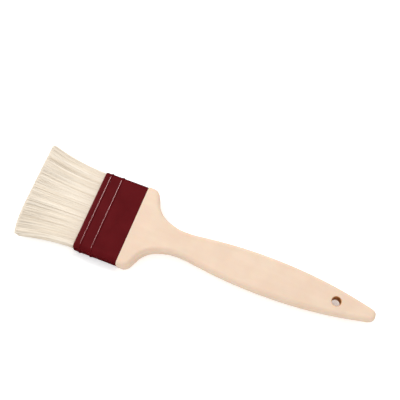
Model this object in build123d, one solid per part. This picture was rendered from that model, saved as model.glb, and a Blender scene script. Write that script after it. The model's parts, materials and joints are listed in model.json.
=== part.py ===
from build123d import *
import os

# Flat pastry brush: a moulded plastic handle, a plastic ferrule pushed over its tongue, and a pack of
# bristles in three rows, divided by two filler strips and set in resin inside the ferrule.
# Millimetres. X runs along the brush, bristles at -X and handle tail at +X. Y is the width.
# Z is the thickness, and the brush lies on its broad side on the plane Z = 0.
# The origin is under the middle of the whole brush.

# ---- Driving dimensions ----
BRISTLE_LENGTH = 46.0       # mouth of the ferrule to the tips, along the centre line
FERRULE_LENGTH = 32.2
HANDLE_LENGTH = 176.0       # end of the ferrule to the tail
TOTAL_LENGTH = BRISTLE_LENGTH + FERRULE_LENGTH + HANDLE_LENGTH

# Ferrule
FERRULE_WIDTH = 60.0
FERRULE_THICK = 11.5
FERRULE_CORNER = 3.5        # radius of its four long edges, outside
FERRULE_WALL = 1.3
FERRULE_LIP = 0.35          # rounding of the two end edges
BEAD_RADIUS = 1.0           # round rib whose centre lies inside the wall
BEAD_HEIGHT = 0.5           # how far a bead stands proud
BEAD_FROM_MOUTH = (4.5, 12.7)

# Handle
SHOULDER_PROUD = 0.3        # the shoulder stands this far outside the ferrule all round
SHOULDER_STRAIGHT = 3.5     # length of the shoulder before its round corner
# Points of the plan outline: distance from the ferrule, half width
SHOULDER_CORNER = (9.0, 27.0)
SHOULDER_SWEEP = ((13.0, 18.7), (20.0, 12.4), (28.0, 9.6))
NECK = (37.0, 8.7)
NECK_TO_BELLY = ((50.0, 9.95), (65.0, 11.7))
BELLY = (97.0, 13.15)
TAPER = ((125.0, 12.0), (150.0, 8.95))
TAIL = (171.3, 4.75)
TAIL_SLOPE = -0.21          # how steeply the outline closes in where the round tail starts
NECK_HALF_THICK = 5.3
BELLY_HALF_THICK = 4.9
TAIL_HALF_THICK = 3.9
TAIL_SIDE_SLOPE = -0.02     # how steeply the handle gets thinner at the tail, seen from the side
EDGE_ROUND = 2.8            # rounding of the handle's long edges
TONGUE_LENGTH = 13.0
TONGUE_CLEARANCE = 0.1

# Hanging hole
HOLE_RADIUS = 3.2
HOLE_FROM_TAIL = 27.8
HOLE_CHAMFER = 0.4

# Bristles and what holds them
FILLER_THICK = 1.0
FILLER_LENGTH = 11.0
FILLER_SIDE_GAP = 1.0       # the strips stop this far short of the ferrule's narrow sides
ROOT_LENGTH = 16.0          # bristle held inside the ferrule
ROOT_GAP = 0.15             # between the root pack and the ferrule's inside
RESIN_LENGTH = 11.0
RESIN_GAP = 0.2             # between the resin and the tongue's end
ROW_GAP = 0.15              # between neighbouring rows
TIP_FLARE = 6.2             # how much wider the pack gets on each side at the tips
TIP_DOME = 1.8              # how much shorter the corner bristles are than the middle ones
TIP_HALF_THICK = 3.7        # half thickness of the pack at the tips
TIP_SLOPE = 0.25            # how steeply the pack's sides open out at the tips
FLEX_GAP = 0.4              # free space between the mouth and the flexing part of the pack

# ---- Places worked out from them ----
MOUTH_X = -TOTAL_LENGTH / 2 + BRISTLE_LENGTH
JOINT_X = MOUTH_X + FERRULE_LENGTH
TAIL_X = JOINT_X + HANDLE_LENGTH
TIP_X = MOUTH_X - BRISTLE_LENGTH
HOLE_X = TAIL_X - HOLE_FROM_TAIL
MIDDLE_Z = FERRULE_THICK / 2 + BEAD_HEIGHT
CAVITY_WIDTH = FERRULE_WIDTH - 2 * FERRULE_WALL
CAVITY_THICK = FERRULE_THICK - 2 * FERRULE_WALL
CAVITY_CORNER = FERRULE_CORNER - FERRULE_WALL
PACK_WIDTH = CAVITY_WIDTH - 2 * ROOT_GAP
PACK_THICK = CAVITY_THICK - 2 * ROOT_GAP
PACK_CORNER = CAVITY_CORNER - ROOT_GAP
ROOT_END_X = MOUTH_X + ROOT_LENGTH
RESIN_END_X = JOINT_X - TONGUE_LENGTH - RESIN_GAP
FILLER_END_X = ROOT_END_X
FLEX_RADIUS = PACK_THICK / 2
FLEX_X = MOUTH_X - FLEX_GAP - FLEX_RADIUS
ROW_NAMES = ("upper", "middle", "lower")
BIG = 200.0                 # size of the blocks that only cut or trim
THIN_CORE = 0.1             # radius of the core that measures the grip's thickness at the hole
LONG_EDGE = 0.5             # the grip's long edges run at least this far along the brush
OVERLAP = 1.0               # how far joined or trimmed shapes pass into each other


def across(x):
    """The plane across the brush at x: its own x runs along the width, its own y along the thickness."""
    return Plane((x, 0, MIDDLE_Z), x_dir=(0, 1, 0), z_dir=(1, 0, 0))


def bar(width, thick, corner, x_low, x_high):
    """A straight bar along X with a rounded rectangular section, centred on the brush's middle line."""
    section = across(x_low) * RectangleRounded(width, thick, corner)
    return extrude(section, amount=x_high - x_low, dir=(1, 0, 0))


def block(x_low, x_high, width, z_low, z_high):
    """A plain block across the brush, its heights measured from the middle plane."""
    size = (x_high - x_low, width, z_high - z_low)
    middle = Pos((x_low + x_high) / 2, 0, MIDDLE_Z + (z_low + z_high) / 2)
    return middle * Box(*size)


# ---- Ferrule ----

def bead(x):
    """A round rib all the way round the ferrule at x, for joining to its wall."""
    inset = BEAD_RADIUS - BEAD_HEIGHT
    loop = RectangleRounded(
        FERRULE_WIDTH - 2 * inset,
        FERRULE_THICK - 2 * inset,
        FERRULE_CORNER - inset,
    )
    path = (across(x) * loop).face().outer_wire()
    section = Plane(path @ 0, z_dir=path % 0) * Circle(BEAD_RADIUS)
    return sweep(section, path=path)


def make_ferrule():
    """The plastic sleeve with its two raised beads near the mouth."""
    sleeve = bar(FERRULE_WIDTH, FERRULE_THICK, FERRULE_CORNER, MOUTH_X, JOINT_X)
    end_edges = sleeve.edges().filter_by(lambda edge: edge.bounding_box().size.X < 0.01)
    sleeve = fillet(end_edges, FERRULE_LIP)
    for distance in BEAD_FROM_MOUTH:
        sleeve += bead(MOUTH_X + distance)
    cavity = bar(CAVITY_WIDTH, CAVITY_THICK, CAVITY_CORNER, MOUTH_X - OVERLAP, JOINT_X + OVERLAP)
    return sleeve - cavity


# ---- Handle ----

def handle_plan():
    """The handle's outline seen from above, from the shoulder to the round tail."""
    half_width = FERRULE_WIDTH / 2 + SHOULDER_PROUD
    shoulder_end = (SHOULDER_STRAIGHT, half_width)
    tail_end = (HANDLE_LENGTH, 0)
    with BuildSketch() as plan:
        with BuildLine():
            Line((0, 0), (0, half_width))
            Line((0, half_width), shoulder_end)
            corner = TangentArc(shoulder_end, SHOULDER_CORNER, tangent=(1, 0))
            Spline(SHOULDER_CORNER, *SHOULDER_SWEEP, NECK, tangents=[corner % 1, (1, 0)])
            Spline(NECK, *NECK_TO_BELLY, BELLY, tangents=[(1, 0), (1, 0)])
            taper = Spline(BELLY, *TAPER, TAIL, tangents=[(1, 0), (1, TAIL_SLOPE)])
            Spline(TAIL, tail_end, tangents=[taper % 1, (0, -1)])
            Line(tail_end, (0, 0))
        make_face()
        mirror(about=Plane.XZ)
    return Pos(JOINT_X, 0, 0) * plan.sketch


def handle_side():
    """The handle's outline seen from the side."""
    shoulder_half = FERRULE_THICK / 2 + SHOULDER_PROUD
    tail_top = (HANDLE_LENGTH, TAIL_HALF_THICK)
    with BuildSketch(Plane.XZ) as side:
        with BuildLine():
            Line((0, 0), (0, shoulder_half))
            Line((0, shoulder_half), (SHOULDER_STRAIGHT, shoulder_half))
            Spline(
                (SHOULDER_STRAIGHT, shoulder_half),
                (NECK[0], NECK_HALF_THICK),
                (BELLY[0], BELLY_HALF_THICK),
                tail_top,
                tangents=[(1, 0), (1, TAIL_SIDE_SLOPE)],
            )
            Line(tail_top, (HANDLE_LENGTH, 0))
            Line((HANDLE_LENGTH, 0), (0, 0))
        make_face()
        mirror(about=Plane.XZ)
    return Pos(JOINT_X, 0, MIDDLE_Z) * side.sketch


def hanging_hole(grip):
    """What the hanging hole takes out of the grip: a bore with a chamfered rim on each face."""
    core = grip & Pos(HOLE_X, 0, MIDDLE_Z) * Cylinder(THIN_CORE, BIG)
    face_height = core.bounding_box().size.Z / 2
    bore = Pos(HOLE_X, 0, MIDDLE_Z) * Cylinder(HOLE_RADIUS, BIG)
    rim_depth = 2 * HOLE_CHAMFER
    rim = Cone(HOLE_RADIUS, HOLE_RADIUS + rim_depth, rim_depth)
    top_rim = Pos(HOLE_X, 0, MIDDLE_Z + face_height) * rim
    return bore + top_rim + mirror(top_rim, about=Plane.XY.offset(MIDDLE_Z))


def is_long_edge(edge):
    """Whether an edge runs along the top or the bottom face of the grip."""
    box = edge.bounding_box()
    return box.size.X > LONG_EDGE and abs(edge.center().Z - MIDDLE_Z) > TAIL_HALF_THICK / 2


def make_handle():
    """The moulded handle: shoulder, neck, belly and tail, with the tongue that the ferrule is glued on."""
    from_above = extrude(handle_plan(), amount=BIG, both=True)
    from_side = extrude(Pos(0, BIG, 0) * handle_side(), amount=2 * BIG, dir=(0, -1, 0))
    grip = from_above & from_side
    long_edges = grip.edges().filter_by(is_long_edge)
    grip = fillet(long_edges, EDGE_ROUND)
    grip -= hanging_hole(grip)
    tongue = bar(
        CAVITY_WIDTH - 2 * TONGUE_CLEARANCE,
        CAVITY_THICK - 2 * TONGUE_CLEARANCE,
        CAVITY_CORNER - TONGUE_CLEARANCE,
        JOINT_X - TONGUE_LENGTH,
        JOINT_X + OVERLAP,
    )
    return grip + tongue


# ---- What holds the bristles ----

def row_heights(half_thick, gap):
    """Lowest and highest height of each row, upper row first, for a pack divided by two even gaps."""
    thick = (2 * half_thick - 2 * gap) / 3
    tops = [half_thick - index * (thick + gap) for index in range(3)]
    return [(top - thick, top) for top in tops]


def root_pack(x_low, x_high):
    """The outer shape of the whole pack where the ferrule holds it."""
    return bar(PACK_WIDTH, PACK_THICK, PACK_CORNER, x_low, x_high)


def make_root(index):
    """The part of one bristle row that the ferrule and the resin hold."""
    z_low, z_high = row_heights(PACK_THICK / 2, FILLER_THICK)[index]
    return root_pack(MOUTH_X, ROOT_END_X) & block(MOUTH_X, ROOT_END_X, BIG, z_low, z_high)


def make_filler(index):
    """A thin strip between two rows, which spreads the pack to fill the ferrule."""
    heights = row_heights(PACK_THICK / 2, FILLER_THICK)
    z_high = heights[index][0]
    z_low = heights[index + 1][1]
    width = PACK_WIDTH - 2 * FILLER_SIDE_GAP
    return block(FILLER_END_X - FILLER_LENGTH, FILLER_END_X, width, z_low, z_high)


def make_resin():
    """The cast resin that fills the ferrule round the ends of the roots and the strips."""
    resin = bar(CAVITY_WIDTH, CAVITY_THICK, CAVITY_CORNER, RESIN_END_X - RESIN_LENGTH, RESIN_END_X)
    for index in range(3):
        resin -= make_root(index)
    for index in range(2):
        resin -= make_filler(index)
    return resin


# ---- Flexing bristles ----

def flex_plan():
    """The free pack's outline seen from above: sides that flare towards domed tips."""
    half_width = PACK_WIDTH / 2
    root_x = FLEX_X + FLEX_RADIUS
    corner = (TIP_X + TIP_DOME, half_width + TIP_FLARE)
    with BuildSketch() as plan:
        with BuildLine():
            Line((root_x, 0), (root_x, half_width))
            Spline((root_x, half_width), corner, tangents=[(-1, 0), (-1, TIP_SLOPE)])
            ThreePointArc(corner, (TIP_X, 0), (corner[0], -corner[1]))
            Spline((corner[0], -corner[1]), (root_x, -half_width), tangents=[(1, TIP_SLOPE), (1, 0)])
            Line((root_x, -half_width), (root_x, 0))
        make_face()
    return plan.sketch


def flex_side(index):
    """One free row's outline seen from the side, thinner towards the tips."""
    root_low, root_high = row_heights(FLEX_RADIUS, ROW_GAP)[index]
    tip_low, tip_high = row_heights(TIP_HALF_THICK, ROW_GAP)[index]
    root_x = FLEX_X + FLEX_RADIUS
    with BuildSketch(Plane.XZ) as side:
        with BuildLine():
            Polyline(
                (root_x, root_low),
                (FLEX_X, root_low),
                (TIP_X - OVERLAP, tip_low),
                (TIP_X - OVERLAP, tip_high),
                (FLEX_X, root_high),
                (root_x, root_high),
                close=True,
            )
        make_face()
    return Pos(0, 0, MIDDLE_Z) * side.sketch


def make_bristles(index):
    """One row of free bristles, with a round root end about the line that the pack flexes on."""
    from_above = extrude(flex_plan(), amount=BIG, both=True)
    from_side = extrude(flex_side(index), amount=BIG, both=True)
    flex_line = Pos(FLEX_X, 0, MIDDLE_Z) * Rot(X=90) * Cylinder(FLEX_RADIUS, BIG)
    beyond = block(TIP_X - BIG, FLEX_X, BIG, -BIG, BIG)
    return from_above & from_side & (flex_line + beyond)


def make_parts():
    """Every sub-part by the name of its file."""
    parts = {
        "handle": make_handle(),
        "ferrule": make_ferrule(),
        "resin_setting": make_resin(),
        "filler_strip_upper": make_filler(0),
        "filler_strip_lower": make_filler(1),
    }
    for index, row in enumerate(ROW_NAMES):
        parts[f"bristle_roots_{row}"] = make_root(index)
        parts[f"bristles_{row}"] = make_bristles(index)
    return parts


os.makedirs("parts", exist_ok=True)
for name, shape in make_parts().items():
    export_step(shape, f"parts/{name}.step")
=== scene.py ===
import json
import math

import bpy
import numpy as np
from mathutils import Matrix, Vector


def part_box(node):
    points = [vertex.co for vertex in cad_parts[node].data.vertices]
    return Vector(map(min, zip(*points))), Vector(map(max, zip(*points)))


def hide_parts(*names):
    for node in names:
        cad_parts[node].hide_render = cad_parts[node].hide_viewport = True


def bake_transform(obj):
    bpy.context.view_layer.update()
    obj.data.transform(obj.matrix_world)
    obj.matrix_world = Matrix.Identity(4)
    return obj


# The looks of the pastry brush: its bristles as separate tapered strands, its plastics, and a plain bright
# studio. Metres, in the frame of the CAD model: +X runs from the bristles to the tail, and Z is up.

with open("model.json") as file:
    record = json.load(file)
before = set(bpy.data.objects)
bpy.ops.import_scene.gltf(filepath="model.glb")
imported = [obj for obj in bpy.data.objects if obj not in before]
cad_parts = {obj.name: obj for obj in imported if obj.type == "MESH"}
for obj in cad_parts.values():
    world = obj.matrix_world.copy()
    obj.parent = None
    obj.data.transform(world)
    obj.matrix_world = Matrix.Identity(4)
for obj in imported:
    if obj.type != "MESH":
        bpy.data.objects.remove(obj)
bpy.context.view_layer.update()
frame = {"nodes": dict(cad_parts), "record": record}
MM = 0.001

# ---- Places taken from the frame ----
FERRULE_LOW, FERRULE_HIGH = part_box("ferrule")
MOUTH_X = FERRULE_LOW.x
MIDDLE_Z = (FERRULE_LOW.z + FERRULE_HIGH.z) / 2
ROWS = ("upper", "middle", "lower")
TIP_X = min(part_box(f"bristles_{row}")[0].x for row in ROWS)
FREE_LENGTH = MOUTH_X - TIP_X
HOLE = next(mount for mount in frame["record"]["mounts"] if mount["name"] == "hanging_hole")
HOLE_PLACE = HOLE["pos_m"]
HOLE_RADIUS = HOLE["dims"]["r_mm"] * MM
RIM_WIDTH = 0.5 * MM        # the bore's painted shade fades out this far past its edge


# ---- Nodes and materials ----

def new_material(name):
    """A material with an empty node tree apart from its shader and output."""
    material = bpy.data.materials.new(name)
    material.use_nodes = True
    tree = material.node_tree
    tree.nodes.clear()
    output = tree.nodes.new("ShaderNodeOutputMaterial")
    shader = tree.nodes.new("ShaderNodeBsdfPrincipled")
    tree.links.new(shader.outputs["BSDF"], output.inputs["Surface"])
    return material, tree, shader


def position(tree):
    """The point being shaded, in metres, in the object's own frame."""
    return tree.nodes.new("ShaderNodeTexCoord").outputs["Object"]


def stretched(tree, point, factors):
    """The point with each of its coordinates multiplied, so that a pattern gets longer one way."""
    mapping = tree.nodes.new("ShaderNodeMapping")
    mapping.inputs["Scale"].default_value = factors
    tree.links.new(point, mapping.inputs["Vector"])
    return mapping.outputs["Vector"]


def noise(tree, point, size, detail=2.0):
    """A noise pattern whose blotches are about this size, in metres."""
    node = tree.nodes.new("ShaderNodeTexNoise")
    node.inputs["Scale"].default_value = 1 / size
    node.inputs["Detail"].default_value = detail
    tree.links.new(point, node.inputs["Vector"])
    return node.outputs["Fac"]


def between(tree, value, low, high, from_low=0.0, from_high=1.0):
    """The value moved from one range to another, and held inside it."""
    node = tree.nodes.new("ShaderNodeMapRange")
    node.inputs["From Min"].default_value = from_low
    node.inputs["From Max"].default_value = from_high
    node.inputs["To Min"].default_value = low
    node.inputs["To Max"].default_value = high
    tree.links.new(value, node.inputs["Value"])
    return node.outputs["Result"]


def mixed_colour(tree, factor, first, second):
    """The first colour where the factor is 0 and the second where it is 1. Either may be a socket."""
    node = tree.nodes.new("ShaderNodeMix")
    node.data_type = "RGBA"
    tree.links.new(factor, node.inputs["Factor"])
    for socket, colour in ((node.inputs[6], first), (node.inputs[7], second)):
        if isinstance(colour, bpy.types.NodeSocket):
            tree.links.new(colour, socket)
        else:
            socket.default_value = colour
    return node.outputs[2]


def linear(red, green, blue):
    """A colour written in 0 to 255 display values, as the linear colour that a shader takes."""
    def channel(value):
        value /= 255
        return value / 12.92 if value <= 0.04045 else ((value + 0.055) / 1.055) ** 2.4
    return (channel(red), channel(green), channel(blue), 1.0)


HANDLE_COLOURS = (linear(222, 197, 175), linear(226, 203, 181))
HANDLE_FLOW = linear(219, 192, 167)
# painted shade for the bore of the hanging hole
BORE_SHADE = linear(190, 130, 76)
FERRULE_COLOURS = (linear(87, 12, 17), linear(93, 15, 20))
FERRULE_TINT = (1.0, 0.72, 0.72, 1.0)   # of its highlights
RESIN_COLOURS = (linear(120, 78, 34), linear(168, 120, 62))
BOARD_COLOURS = (linear(150, 126, 96), linear(190, 166, 132))
STRAND_COLOURS = (linear(233, 221, 203), linear(242, 233, 219))
# painted shade near the ferrule's mouth, where the strands leave it
STRAND_ROOT_SHADE = linear(226, 213, 197)
STRAND_TIP = linear(239, 229, 214)
STRAND_FLECK = linear(234, 220, 199)
PAPER_COLOURS = (linear(249, 249, 249), linear(253, 253, 253))


def bump(tree, shader, height, depth):
    """Raises the surface by the height pattern, whose full range is depth metres."""
    node = tree.nodes.new("ShaderNodeBump")
    node.inputs["Strength"].default_value = 1.0
    node.inputs["Distance"].default_value = depth
    tree.links.new(height, node.inputs["Height"])
    tree.links.new(node.outputs["Normal"], shader.inputs["Normal"])


def near_the_hole(tree, point):
    """1 on the bore of the hanging hole, falling to 0 just outside its rim."""
    shift = tree.nodes.new("ShaderNodeVectorMath")
    shift.operation = "SUBTRACT"
    shift.inputs[1].default_value = HOLE_PLACE
    tree.links.new(point, shift.inputs[0])
    length = tree.nodes.new("ShaderNodeVectorMath")
    length.operation = "LENGTH"
    tree.links.new(stretched(tree, shift.outputs["Vector"], (1, 1, 0)), length.inputs[0])
    return between(tree, length.outputs["Value"], 1, 0, HOLE_RADIUS, HOLE_RADIUS + RIM_WIDTH)


def matte_plastic():
    """The handle's cream moulded plastic: fine satin grain, faint flow marks and soft mottling.

    The bore is painted brown. That stands in for deep shade, and isn't a colour of the plastic.
    """
    material, tree, shader = new_material("cream_moulded_plastic")
    point = position(tree)
    flow = noise(tree, stretched(tree, point, (0.15, 1, 1)), 4 * MM, detail=3)
    mottle = noise(tree, point, 14 * MM)
    base = mixed_colour(tree, between(tree, mottle, 0, 1, 0.35, 0.65), *HANDLE_COLOURS)
    colour = mixed_colour(tree, between(tree, flow, 0, 0.35, 0.4, 0.75), base, HANDLE_FLOW)
    # painted shade: the bore of the hanging hole is darkened to brown
    bore_shaded = mixed_colour(tree, near_the_hole(tree, point), colour, BORE_SHADE)
    tree.links.new(bore_shaded, shader.inputs["Base Color"])
    grain = noise(tree, point, 0.35 * MM, detail=4)
    tree.links.new(between(tree, grain, 0.42, 0.56), shader.inputs["Roughness"])
    bump(tree, shader, grain, 0.012 * MM)
    shader.inputs["Specular IOR Level"].default_value = 0.35
    shader.inputs["Subsurface Weight"].default_value = 0.25
    shader.inputs["Subsurface Radius"].default_value = (1.0, 0.35, 0.15)
    shader.inputs["Subsurface Scale"].default_value = 3 * MM
    return material


def gloss_plastic():
    """The ferrule's dark red plastic: glossy, with faint ripples from the mould."""
    material, tree, shader = new_material("burgundy_gloss_plastic")
    point = position(tree)
    cloud = noise(tree, point, 9 * MM, detail=3)
    base = mixed_colour(tree, between(tree, cloud, 0, 1, 0.35, 0.65), *FERRULE_COLOURS)
    tree.links.new(base, shader.inputs["Base Color"])
    grain = noise(tree, point, 0.5 * MM, detail=4)
    tree.links.new(between(tree, grain, 0.15, 0.23), shader.inputs["Roughness"])
    ripple = noise(tree, stretched(tree, point, (1, 0.3, 1)), 5 * MM, detail=5)
    bump(tree, shader, ripple, 0.01 * MM)
    shader.inputs["Specular IOR Level"].default_value = 0.8
    shader.inputs["Specular Tint"].default_value = FERRULE_TINT
    return material


def resin_material():
    """Amber setting resin, slightly cloudy."""
    material, tree, shader = new_material("setting_resin")
    cloud = noise(tree, position(tree), 2 * MM, detail=4)
    tree.links.new(mixed_colour(tree, cloud, *RESIN_COLOURS), shader.inputs["Base Color"])
    tree.links.new(between(tree, cloud, 0.2, 0.35), shader.inputs["Roughness"])
    bump(tree, shader, cloud, 0.05 * MM)
    return material


def board_material():
    """Thin grey-brown filler board with fibres along it."""
    material, tree, shader = new_material("filler_board")
    fibre = noise(tree, stretched(tree, position(tree), (1, 0.08, 1)), 0.4 * MM, detail=5)
    tree.links.new(mixed_colour(tree, fibre, *BOARD_COLOURS), shader.inputs["Base Color"])
    tree.links.new(between(tree, fibre, 0.75, 0.95), shader.inputs["Roughness"])
    bump(tree, shader, fibre, 0.04 * MM)
    return material


def bristle_material():
    """Cream bristle: each strand has its own tone, with painted shade towards the root next to the ferrule,
    and flecks along it.
    """
    material, tree, shader = new_material("cream_bristle")
    tone = tree.nodes.new("ShaderNodeAttribute")
    tone.attribute_name = "tone"
    along = tree.nodes.new("ShaderNodeAttribute")
    along.attribute_name = "along"
    strand = mixed_colour(tree, tone.outputs["Fac"], *STRAND_COLOURS)
    # painted shade: the strands are darker over the first third of their free length, next to the ferrule
    root_shaded = mixed_colour(tree, between(tree, along.outputs["Fac"], 0.6, 0, 0.0, 0.35), strand, STRAND_ROOT_SHADE)
    tips = mixed_colour(tree, between(tree, along.outputs["Fac"], 0, 0.6, 0.75, 1.0), root_shaded, STRAND_TIP)
    fleck = noise(tree, stretched(tree, position(tree), (0.2, 1, 1)), 0.6 * MM, detail=3)
    colour = mixed_colour(tree, between(tree, fleck, 0, 0.3, 0.5, 0.8), tips, STRAND_FLECK)
    tree.links.new(colour, shader.inputs["Base Color"])
    tree.links.new(between(tree, fleck, 0.4, 0.55), shader.inputs["Roughness"])
    bump(tree, shader, fleck, 0.01 * MM)
    shader.inputs["Specular IOR Level"].default_value = 0.4
    return material


def floor_material():
    """Matt white paper, with the faintest tooth."""
    material, tree, shader = new_material("white_paper")
    tooth = noise(tree, position(tree), 3 * MM, detail=3)
    tree.links.new(mixed_colour(tree, tooth, *PAPER_COLOURS), shader.inputs["Base Color"])
    shader.inputs["Roughness"].default_value = 0.9
    shader.inputs["Specular IOR Level"].default_value = 0.1
    shader.inputs["Emission Color"].default_value = (1, 1, 1, 1)
    shader.inputs["Emission Strength"].default_value = FLOOR_GLOW
    return material


def assign(node, material):
    """Gives a CAD node this material in every slot."""
    for slot in frame["nodes"][node].material_slots:
        slot.material = material


# ---- Bristles ----
STRANDS_PER_ROW = 3400      # the number aimed at: their even grid has 3267 places
ROOT_RADIUS = 0.19 * MM
TIP_RADIUS = 0.14 * MM
TAPER_POWER = 1.5           # above 1, a strand keeps its root's thickness for longer
SIDES = 3                   # of a strand's section
FREE_RINGS = 7              # rings of points along the free length of a strand, its mouth ring left out
CLUMP_SPACING = 2.2 * MM    # the bristles lean together in locks about this far apart
CLUMP_PULL = 0.06           # how far a tip is drawn to the middle of its lock
LOCK_BLUR = 0.25            # how ragged the borders of the locks are, as a share of their spacing
LOCK_SHIFT = 0.03 * MM      # how far a lock moves sideways as a whole
SHIFTS = 40                 # places across the width where that is drawn
SIDE_FLARE = (5.9 * MM, 6.9 * MM)       # how far the outermost tips spread, on the -Y and the +Y side
FLARE_POWER = 1.9           # above 1, the sides curve outwards towards the tips
TIP_THICKNESS = 0.75        # of the pack at the tips, as a share of its closed rows' thickness
TIP_SCATTER = 0.13 * MM
BEND = 0.06 * MM            # how far a strand bows out of line half way along
LENGTH_SCATTER = 0.85 * MM
SHORT_SHARE = 0.1           # share of strands that end early
SHORTEST = 3.5 * MM
INNER_FILL = 1.6            # strands inside the pack are up to this much thicker again, so that it is solid
INNER_DEPTH = 1.0 * MM      # how far under the pack's surface that starts
FILL_POWER = 10             # how suddenly that ends at the tips
CORNER_DROP = (3.0 * MM, 0.2 * MM)      # how much shorter the corners are, on the -Y and the +Y side
CORNER_POWER = 4            # how near the corners that is kept
FACE_DROP = 1.8 * MM        # how much shorter the bristles on the two wide faces are
CLOSING_POWER = 3           # how soon outside the mouth the rows close up
GRID_SPAN = (0.1, 0.9)      # where in its own cell of the grid a strand may stand
FIRST_SEED = 40             # of the random draws of the upper row, and each other row has the next one
BAKE_MARGIN = 0.1           # free edge of a strand's cell in the baking layout


def middle_height(node):
    """The height of the middle of a CAD node's box."""
    low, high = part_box(node)
    return (low.z + high.z) / 2


# Inside the ferrule the rows are held apart by the filler strips, and outside it they close up.
ROW_PITCH = middle_height("bristle_roots_upper") - middle_height("bristle_roots_middle")


# A known fault: the places fill a box with square corners, so some of the outermost strands run inside the
# ferrule's rounded corners, and the inner strands' extra thickness reaches into the filler strips.
def strand_roots(low, high, rng):
    """Places of the strands' roots in one row's section, spread evenly with a little scatter."""
    width = high.y - low.y
    thick = high.z - low.z
    columns = round(math.sqrt(STRANDS_PER_ROW * width / thick))
    layers = round(STRANDS_PER_ROW / columns)
    column, layer = np.meshgrid(np.arange(columns), np.arange(layers), indexing="ij")
    scatter = rng.uniform(*GRID_SPAN, (2, columns, layers))
    y = low.y + width * (column + scatter[0]) / columns
    z = low.z + thick * (layer + scatter[1]) / layers
    return y.ravel(), z.ravel()


def strand_lines(low, high, rng):
    """Centre lines of one row's strands, from the resin to the tips: an array of strands by rings by 3."""
    root_y, root_z = strand_roots(low, high, rng)
    count = len(root_y)
    side = root_y / high.y
    leaning = np.where(side > 0, SIDE_FLARE[1], SIDE_FLARE[0]) * side
    lock = np.round(root_y / CLUMP_SPACING + rng.normal(0, LOCK_BLUR, count)) * CLUMP_SPACING
    lock_shift = np.interp(lock, np.linspace(low.y, high.y, SHIFTS), rng.normal(0, LOCK_SHIFT, SHIFTS))
    tip_y = root_y + leaning + lock_shift + CLUMP_PULL * (lock - root_y) + rng.normal(0, TIP_SCATTER, count)
    high_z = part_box("bristle_roots_upper")[1].z
    row_middle = (low.z + high.z) / 2
    closed_z = row_middle + (root_z - row_middle) * ROW_PITCH / (high.z - low.z)
    tip_z = MIDDLE_Z + (closed_z - MIDDLE_Z) * TIP_THICKNESS + rng.normal(0, TIP_SCATTER, count)
    drop = np.where(side > 0, CORNER_DROP[1], CORNER_DROP[0]) * np.abs(side) ** CORNER_POWER
    face = (root_z - MIDDLE_Z) / (high_z - MIDDLE_Z)
    drop = drop + FACE_DROP * face ** 2
    length = FREE_LENGTH - drop - np.abs(rng.normal(0, LENGTH_SCATTER, count))
    short = rng.random(count) < SHORT_SHARE
    length = length - short * rng.uniform(0, SHORTEST, count)
    bend_y = rng.normal(0, BEND, count)
    bend_z = rng.normal(0, BEND, count)
    share = np.linspace(0, 1, FREE_RINGS + 1)
    curve = share ** FLARE_POWER
    bow = np.sin(math.pi * share)
    x = MOUTH_X - length[:, None] * share
    y = root_y[:, None] + (tip_y - root_y)[:, None] * curve + bend_y[:, None] * bow
    closing = 1 - (1 - share) ** CLOSING_POWER
    z = root_z[:, None] + (closed_z - root_z)[:, None] * closing
    z = z + (tip_z - closed_z)[:, None] * share + bend_z[:, None] * bow * share
    lines = np.stack([x, y, z], axis=2)
    inside = lines[:, :1].copy()
    inside[:, :, 0] = high.x
    return np.concatenate([inside, lines], axis=1)


def depth_share(roots):
    """For each strand's root, 0 at the surface of the whole pack and 1 well inside it."""
    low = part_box("bristle_roots_lower")[0]
    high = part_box("bristle_roots_upper")[1]
    from_sides = high.y - np.abs(roots[:, 1])
    from_faces = (high.z - low.z) / 2 - np.abs(roots[:, 2] - MIDDLE_Z)
    return np.clip(np.minimum(from_sides, from_faces) / INNER_DEPTH - 1, 0, 1)


def strand_mesh(name, lines, rng):
    """A mesh of tapered strands along these lines, with a tone for each strand and a baking layout."""
    count, rings = lines.shape[:2]
    along = np.concatenate([[0.0], np.linspace(0, 1, rings - 1)])
    radius = (ROOT_RADIUS + (TIP_RADIUS - ROOT_RADIUS) * along ** TAPER_POWER)[None, :]
    filled = (1 - along ** FILL_POWER)[None, :]
    radius = radius * (1 + INNER_FILL * depth_share(lines[:, 0])[:, None] * filled)
    turn = rng.uniform(0, 2 * math.pi, count)
    angle = turn[:, None] + 2 * math.pi * np.arange(SIDES) / SIDES
    ring = np.stack([np.zeros_like(angle), np.cos(angle), np.sin(angle)], axis=2)
    points = lines[:, :, None, :] + radius[:, :, None, None] * ring[:, None, :, :]
    per_strand = rings * SIDES
    first = (np.arange(count) * per_strand)[:, None, None]
    step = (np.arange(rings - 1) * SIDES)[None, :, None]
    here = np.arange(SIDES)[None, None, :]
    after = (here + 1) % SIDES
    base = first + step
    quads = np.stack([base + here, base + here + SIDES, base + after + SIDES, base + after], axis=3)
    quads = quads.reshape(-1, 4)
    caps = first[:, :, 0] + (rings - 1) * SIDES + np.arange(SIDES)[None, :]
    faces = [tuple(face) for face in quads.tolist()] + [tuple(face) for face in caps.tolist()]
    mesh = bpy.data.meshes.new(name)
    mesh.from_pydata(points.reshape(-1, 3).tolist(), [], faces)
    tone = mesh.attributes.new("tone", "FLOAT", "POINT")
    tone.data.foreach_set("value", np.repeat(rng.random(count), per_strand).astype(np.float32))
    share = mesh.attributes.new("along", "FLOAT", "POINT")
    share.data.foreach_set("value", np.tile(np.repeat(along, SIDES), count).astype(np.float32))
    bake_layout(mesh, count, rings)
    mesh.update()
    return mesh


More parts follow.
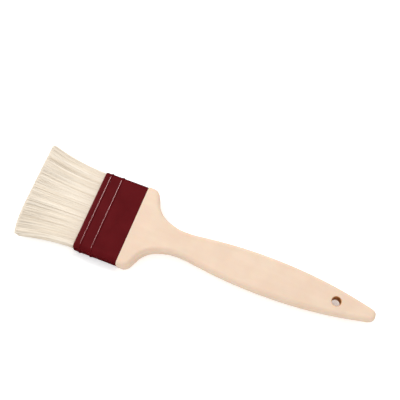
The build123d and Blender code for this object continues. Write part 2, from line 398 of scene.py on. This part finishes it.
def bake_layout(mesh, count, rings):
    """Lays every strand out in its own cell of a square grid, so that its colours can be baked."""
    cells = math.ceil(math.sqrt(count))
    cell = 1 / cells
    margin = BAKE_MARGIN
    columns = []
    for ring in range(rings - 1):
        for side in range(SIDES):
            low_u = margin + (1 - 2 * margin) * side / SIDES
            high_u = margin + (1 - 2 * margin) * (side + 1) / SIDES
            low_v = margin + (1 - 2 * margin) * ring / rings
            high_v = margin + (1 - 2 * margin) * (ring + 1) / rings
            columns += [(low_u, low_v), (low_u, high_v), (high_u, high_v), (high_u, low_v)]
    sides = np.array(columns)
    tip_v = margin + (1 - 2 * margin) * (rings - 1) / rings
    cap = np.array([(0.3, tip_v), (0.7, tip_v), (0.5, 1 - margin)])
    index = np.arange(count)
    corner = np.stack([index % cells, index // cells], axis=1) * cell
    side_uv = corner[:, None, :] + sides[None] * cell
    cap_uv = corner[:, None, :] + cap[None] * cell
    layer = mesh.uv_layers.new(name="OFBake")
    flat = np.concatenate([side_uv.reshape(-1), cap_uv.reshape(-1)])
    layer.data.foreach_set("uv", flat.astype(np.float32))


def make_bristles(material):
    """One piece for each row of bristles, from the resin to the tips, bending where the CAD pack turns."""
    for index, row in enumerate(ROWS):
        rng = np.random.default_rng(FIRST_SEED + index)
        low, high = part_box(f"bristle_roots_{row}")
        mesh = strand_mesh(f"bristle_strands_{row}", strand_lines(low, high, rng), rng)
        mesh.materials.append(material)
        strands = bpy.data.objects.new(mesh.name, mesh)
        bpy.context.scene.collection.objects.link(strands)
        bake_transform(strands)
        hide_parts(f"bristles_{row}", f"bristle_roots_{row}")


# ---- Studio ----
CAMERA_TURN = math.radians(21.5)
CAMERA_RISE = math.radians(69.0)
CAMERA_DISTANCE = 0.628
CAMERA_AIM = Vector((-0.0130, 0.0356, 0.00625))
LENS = 80.3                 # millimetres, as is the sensor
SENSOR_WIDTH = 36.0


def direction(turn, rise):
    """The way from the aim to something at this turn from -Y and this rise above the floor."""
    flat = math.cos(rise)
    return Vector((math.sin(turn) * flat, -math.cos(turn) * flat, math.sin(rise)))


def facing(place, target):
    """The rotation of a camera or lamp at a place that looks at the target."""
    return (target - place).to_track_quat("-Z", "Y").to_euler()


def make_camera():
    """The camera at the photograph's viewing angle."""
    data = bpy.data.cameras.new("camera")
    data.lens = LENS
    data.sensor_width = SENSOR_WIDTH
    camera = bpy.data.objects.new("camera", data)
    camera.location = CAMERA_AIM + CAMERA_DISTANCE * direction(CAMERA_TURN, CAMERA_RISE)
    camera.rotation_euler = facing(camera.location, CAMERA_AIM)
    bpy.context.scene.collection.objects.link(camera)
    bpy.context.scene.camera = camera


def make_lamp(name, place, size, power):
    """A square softbox aimed at the middle of the brush."""
    data = bpy.data.lights.new(name, "AREA")
    data.shape = "SQUARE"
    data.size = size
    data.energy = power
    lamp = bpy.data.objects.new(name, data)
    lamp.location = Vector(place)
    lamp.rotation_euler = facing(lamp.location, Vector((0, 0, 0)))
    bpy.context.scene.collection.objects.link(lamp)


TENT_LIGHT = 0.97
FLOOR_GLOW = 0.28           # a little light from the paper itself, which softens the shadow under the brush
FLOOR_HALF_WIDTH = 3.0
SOFTBOX_PLACE = (-1.5, 0.8, 1.5)
SOFTBOX_SIZE = 0.6
SOFTBOX_POWER = 24.0        # watts


def make_world():
    """A white tent round the brush, which lights it evenly but isn't mirrored in its gloss."""
    world = bpy.data.worlds.new("tent")
    bpy.context.scene.world = world
    world.use_nodes = True
    world.cycles_visibility.glossy = False
    world.node_tree.nodes["Background"].inputs["Strength"].default_value = TENT_LIGHT
    world.node_tree.nodes["Background"].inputs["Color"].default_value = (1, 1, 1, 1)


def make_floor():
    """A wide sheet of white paper under the brush, which isn't mirrored in its gloss either."""
    half = FLOOR_HALF_WIDTH
    corners = [(-half, -half, 0), (half, -half, 0), (half, half, 0), (-half, half, 0)]
    mesh = bpy.data.meshes.new("floor")
    mesh.from_pydata(corners, [], [(0, 1, 2, 3)])
    mesh.materials.append(floor_material())
    floor = bpy.data.objects.new("floor", mesh)
    floor.visible_glossy = False
    bpy.context.scene.collection.objects.link(floor)


# ---- The scene ----
assign("handle", matte_plastic())
assign("ferrule", gloss_plastic())
assign("resin_setting", resin_material())
board = board_material()
assign("filler_strip_upper", board)
assign("filler_strip_lower", board)
make_bristles(bristle_material())
make_floor()
make_world()
make_lamp("key_softbox", SOFTBOX_PLACE, SOFTBOX_SIZE, SOFTBOX_POWER)
make_camera()
bpy.context.scene.view_settings.view_transform = "Standard"
